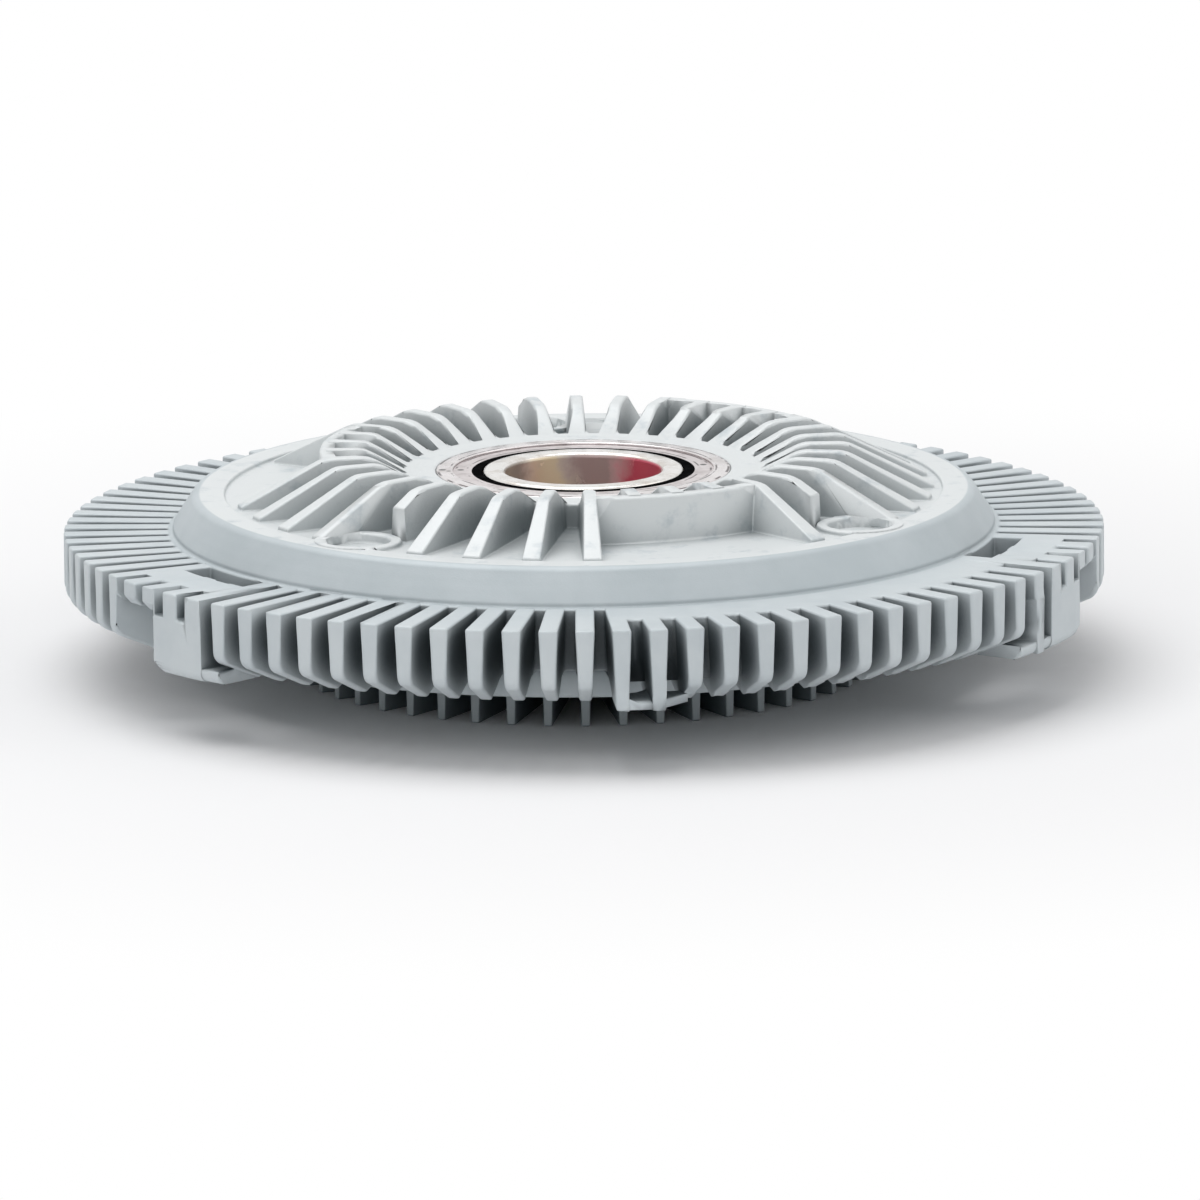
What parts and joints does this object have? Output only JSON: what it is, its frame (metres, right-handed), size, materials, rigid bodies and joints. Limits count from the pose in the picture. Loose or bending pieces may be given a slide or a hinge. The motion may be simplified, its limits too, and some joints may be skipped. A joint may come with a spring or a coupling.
{
  "type": "viscous fan clutch",
  "caption": "Round viscous fan clutch with a finned cast rear housing, sealed ball bearing and blind input bore, inner rotor, and a finned front cover with a bimetal-driven valve.",
  "frame": {"origin": "on the axis, in the plane of the front cover's fin tips that it stands on", "axes": "+Z along the axis towards the engine side, where the input bore opens; -Y towards the front block of rim fins"},
  "size_m": [0.3, 0.3, 0.0652],
  "materials": {
    "housing_casting": "fine cast, pale blue-grey",
    "cover_casting": "fine cast",
    "bearing_steel": "ground",
    "shield_steel": "pressed sheet",
    "hub_steel": "turned and ground",
    "seal_rubber": "matte black",
    "cage_brass": "machined",
    "rotor_aluminium": "turned",
    "plate_steel": "pressed sheet",
    "fastener_steel": "zinc plated",
    "bush_bronze": "sintered bronze",
    "bimetal_strip": "rolled strip"
  },
  "bodies": {
    "housing": {"rear_housing": "housing_casting", "front_cover": "cover_casting", "cover_screws": "fastener_steel", "cover_seal": "seal_rubber", "locating_pins": "fastener_steel", "bearing_outer_ring": "bearing_steel", "bearing_shield_rear": "shield_steel", "bearing_seal_rear": "seal_rubber", "bearing_shield_front": "shield_steel", "bearing_seal_front": "seal_rubber", "pump_plate": "plate_steel", "plate_screws": "fastener_steel", "pump_wiper": "plate_steel", "valve_bush": "bush_bronze", "shaft_seal": "seal_rubber", "bimetal_coil": "bimetal_strip", "coil_anchor": "plate_steel", "anchor_screws": "fastener_steel"},
    "input": {"input_hub": "hub_steel", "rotor_disc": "rotor_aluminium", "rotor_rivets": "fastener_steel"},
    "ball_set": {"bearing_balls": "bearing_steel", "bearing_cage": "cage_brass"},
    "valve": {"valve_shaft": "hub_steel", "valve_arm": "plate_steel"}
  },
  "joints": [
    {"name": "hub_spin", "type": "hinge", "parent": "housing", "child": "input", "pos_m": [0, 0, 0.0491], "axis": [0, 0, 1], "continuous": true},
    {"name": "ball_spin", "type": "hinge", "parent": "housing", "child": "ball_set", "pos_m": [0, 0, 0.0491], "axis": [0, 0, 1], "continuous": true},
    {"name": "valve_turn", "type": "hinge", "parent": "housing", "child": "valve", "pos_m": [0, 0, 0.012], "axis": [0, 0, 1], "range_deg": [0, 35], "stiffness_Nm_per_rad": 0.02, "deforming": ["bimetal_coil"]}
  ],
  "couplings": [
    {"joint": "ball_spin", "follows": "hub_spin", "ratio": 0.4023}
  ]
}
